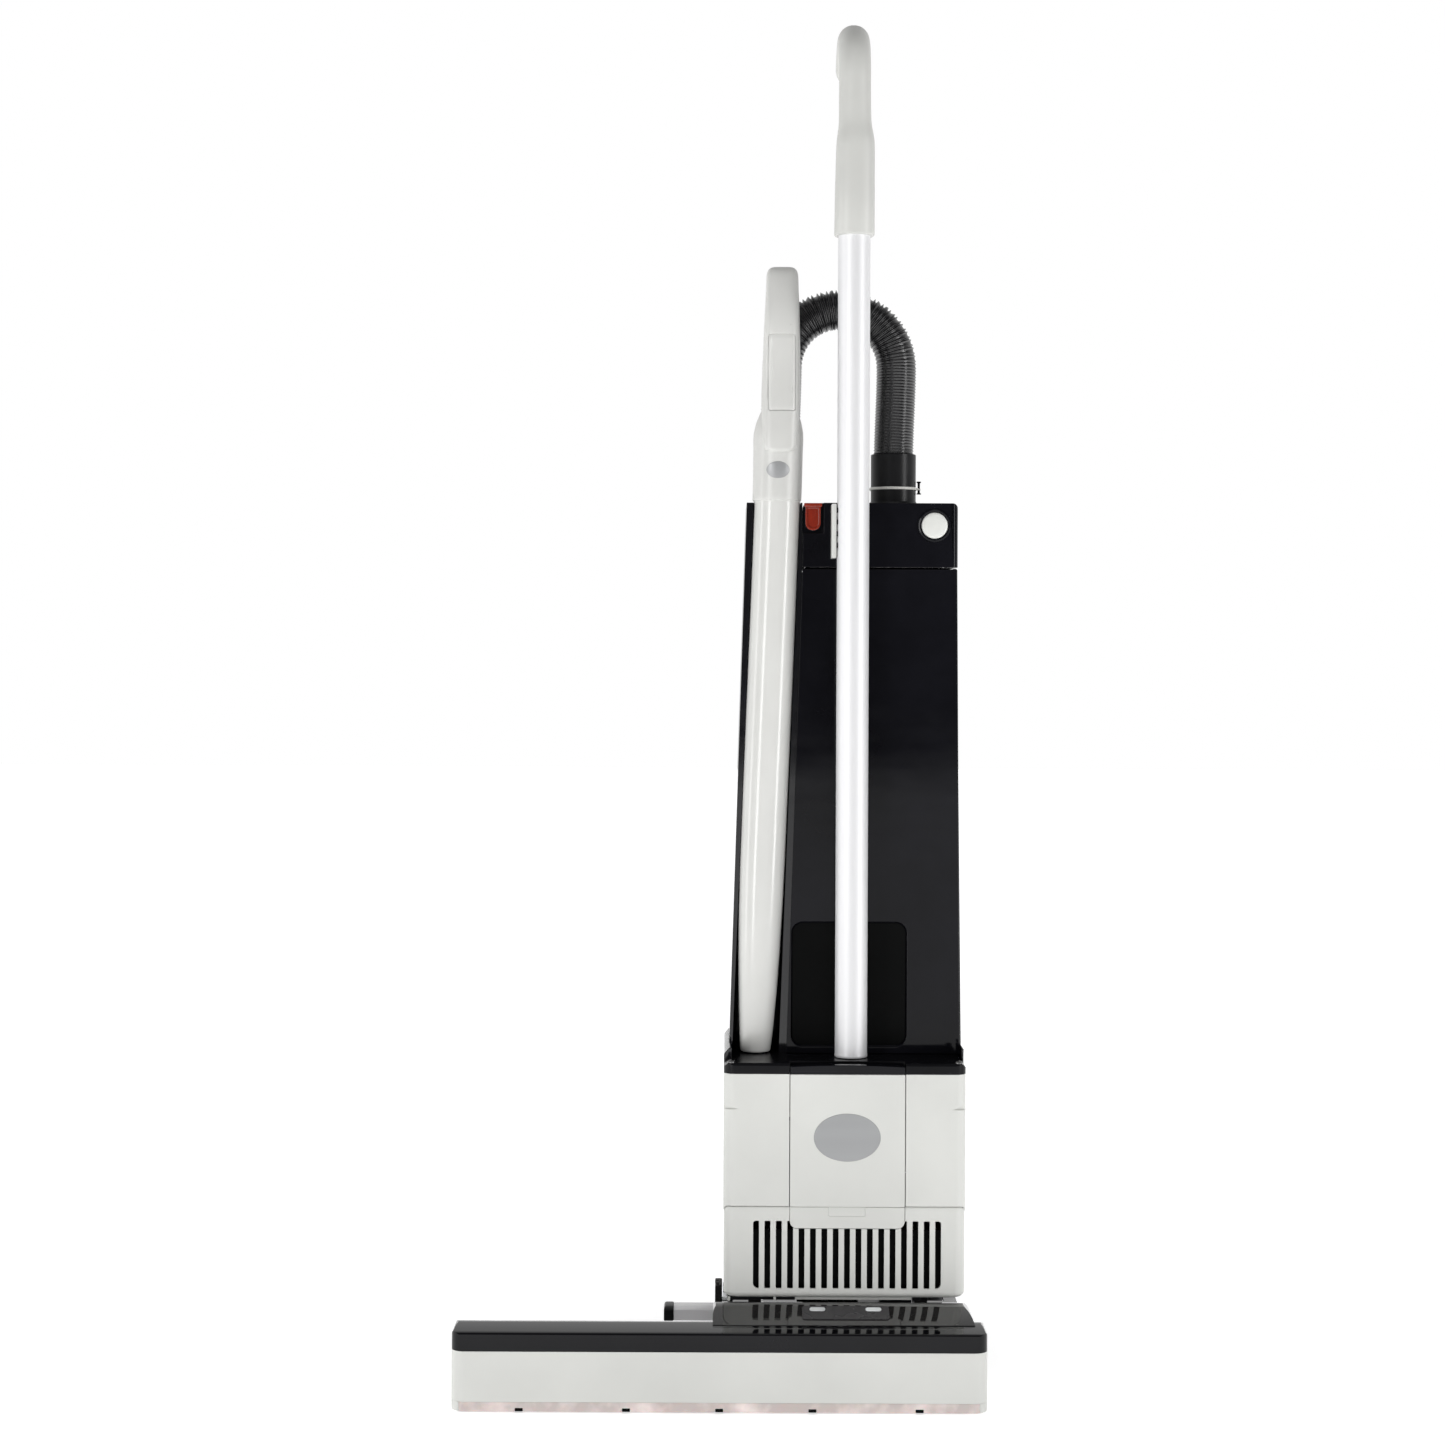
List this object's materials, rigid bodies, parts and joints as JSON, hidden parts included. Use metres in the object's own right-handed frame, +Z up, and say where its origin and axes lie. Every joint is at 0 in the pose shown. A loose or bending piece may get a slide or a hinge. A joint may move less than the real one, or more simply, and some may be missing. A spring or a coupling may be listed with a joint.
{
  "type": "upright vacuum cleaner",
  "caption": "Wide upright vacuum cleaner: brush head, vented motor housing, bag housing with docked wand and stretch hose, and a bent grip on a metal tube.",
  "frame": {"origin": "floor level, under the middle of the machine's bounding box", "axes": "+X along the floor head to its right end as seen from the front, -Y to the front, +Z up"},
  "size_m": [0.462, 0.33, 1.2255],
  "materials": {
    "light_grey_casing": "fine satin moulded",
    "wand_grey": "smooth satin moulded",
    "gloss_black_casing": "polished",
    "black_casing": "fine grain",
    "bumper": "translucent, softly matt",
    "panel_grey": "satin film",
    "lens": "clear over white",
    "satin_aluminium": "satin anodised",
    "steel": "turned",
    "pedal_grey": "smooth",
    "tread": "moulded tread",
    "bristle": "nylon tufts",
    "belt": "ribbed",
    "motor_steel": "grey lacquer",
    "copper": "wound wire and laminations",
    "board": "solder mask",
    "filter_media": "pleated",
    "bag_paper": "paper",
    "seal": "foam rubber",
    "badge_plate": "plain plate",
    "strap": "matt",
    "hose_rubber": "corrugated",
    "latch_red": "polished"
  },
  "bodies": {
    "floor_head": {"head_shell": "light_grey_casing", "head_lid": "gloss_black_casing", "bumper_strip": "bumper", "corner_blocks": "light_grey_casing", "sole_plate": "black_casing", "glide_runners": "steel", "end_bearings": "black_casing", "brush_motor": "motor_steel", "drive_belt": "belt", "air_duct": "black_casing", "carriage_hood": "gloss_black_casing", "carriage_base": "black_casing", "wheel_axle": "steel", "indicator_panel": "panel_grey", "indicator_lenses": "lens", "control_board": "board", "casing_screws": "steel", "pivot_pins": "steel"},
    "brush_roller": {"roller_core": "black_casing", "roller_bristles": "bristle", "roller_pulley": "steel"},
    "brush_drive": {"motor_pulley": "steel"},
    "left_wheel": {"wheel_left": "black_casing", "tyre_left": "tread"},
    "right_wheel": {"wheel_right": "black_casing", "tyre_right": "tread"},
    "pedal": {"foot_pedal": "pedal_grey", "pedal_pad": "black_casing"},
    "upper_body": {"motor_housing": "light_grey_casing", "ledge_band": "gloss_black_casing", "front_grille": "light_grey_casing", "bag_housing": "gloss_black_casing", "bag_door": "gloss_black_casing", "top_cover": "gloss_black_casing", "hose_cuff": "black_casing", "strap_ring": "strap", "tube_clip": "light_grey_casing", "dust_bag": "bag_paper", "motor_filter": "filter_media", "motor_seal": "seal", "riser_duct": "black_casing", "suction_motor": "motor_steel", "exhaust_filter": "filter_media", "pivot_yoke": "black_casing", "lower_cable_hook": "black_casing", "cable_inlet": "black_casing", "handle_socket": "black_casing"},
    "fan": {"motor_armature": "copper"},
    "cover": {"filter_cover": "light_grey_casing", "cover_badge": "badge_plate"},
    "wand": {"wand_tube": "wand_grey", "wand_grip": "wand_grey", "grip_insert": "wand_grey", "wand_badge": "badge_plate", "hose": "hose_rubber"},
    "handle": {"handle_tube": "satin_aluminium", "handle_grip": "light_grey_casing"},
    "button": {"power_button": "light_grey_casing"},
    "latch": {"door_latch": "latch_red"},
    "cable_hook": {"upper_cable_hook": "black_casing"}
  },
  "joints": [
    {"name": "recline", "type": "hinge", "parent": "floor_head", "child": "upper_body", "pos_m": [0.11, 0.06, 0.066], "axis": [-1, 0, 0], "range_deg": [0, 72]},
    {"name": "brush_spin", "type": "hinge", "parent": "floor_head", "child": "brush_roller", "pos_m": [0, -0.127, 0.026], "axis": [1, 0, 0], "continuous": true},
    {"name": "brush_drive_spin", "type": "hinge", "parent": "floor_head", "child": "brush_drive", "pos_m": [-0.2065, -0.067, 0.03], "axis": [1, 0, 0], "continuous": true},
    {"name": "left_wheel_roll", "type": "hinge", "parent": "floor_head", "child": "left_wheel", "pos_m": [0.021, 0.132, 0.033], "axis": [1, 0, 0], "continuous": true},
    {"name": "right_wheel_roll", "type": "hinge", "parent": "floor_head", "child": "right_wheel", "pos_m": [0.201, 0.132, 0.033], "axis": [1, 0, 0], "continuous": true},
    {"name": "pedal_press", "type": "hinge", "parent": "floor_head", "child": "pedal", "pos_m": [0, 0.04, 0.046], "axis": [1, 0, 0], "range_deg": [0, 10], "stiffness_Nm_per_rad": 1, "springref_deg": -14.32},
    {"name": "fan_spin", "type": "hinge", "parent": "upper_body", "child": "fan", "pos_m": [0.11, 0, 0.155], "axis": [0, 0, 1], "continuous": true},
    {"name": "cover_open", "type": "hinge", "parent": "upper_body", "child": "cover", "pos_m": [0.1126, -0.0895, 0.283], "axis": [-1, 0, 0], "range_deg": [0, 70]},
    {"name": "wand_lift", "type": "slide", "parent": "upper_body", "child": "wand", "axis": [0.0354, 0, 0.9994], "range_m": [0, 0.12], "deforming": ["hose"]},
    {"name": "handle_lift", "type": "slide", "parent": "upper_body", "child": "handle", "axis": [0, 0, 1], "range_m": [0, 0.05]},
    {"name": "button_press", "type": "slide", "parent": "upper_body", "child": "button", "axis": [0, 1, 0], "range_m": [0, 0.0025], "stiffness_N_per_m": 600, "springref_m": -0.001},
    {"name": "latch_pull", "type": "hinge", "parent": "upper_body", "child": "latch", "pos_m": [0.0816, -0.036, 0.7665], "axis": [1, 0, 0], "range_deg": [0, 18], "stiffness_Nm_per_rad": 0.06, "springref_deg": -14.32},
    {"name": "hook_swivel", "type": "hinge", "parent": "upper_body", "child": "cable_hook", "pos_m": [0.11, 0.081, 0.68], "axis": [0, 1, 0], "range_deg": [0, 180]}
  ],
  "couplings": [
    {"joint": "brush_drive_spin", "follows": "brush_spin", "ratio": 2}
  ]
}
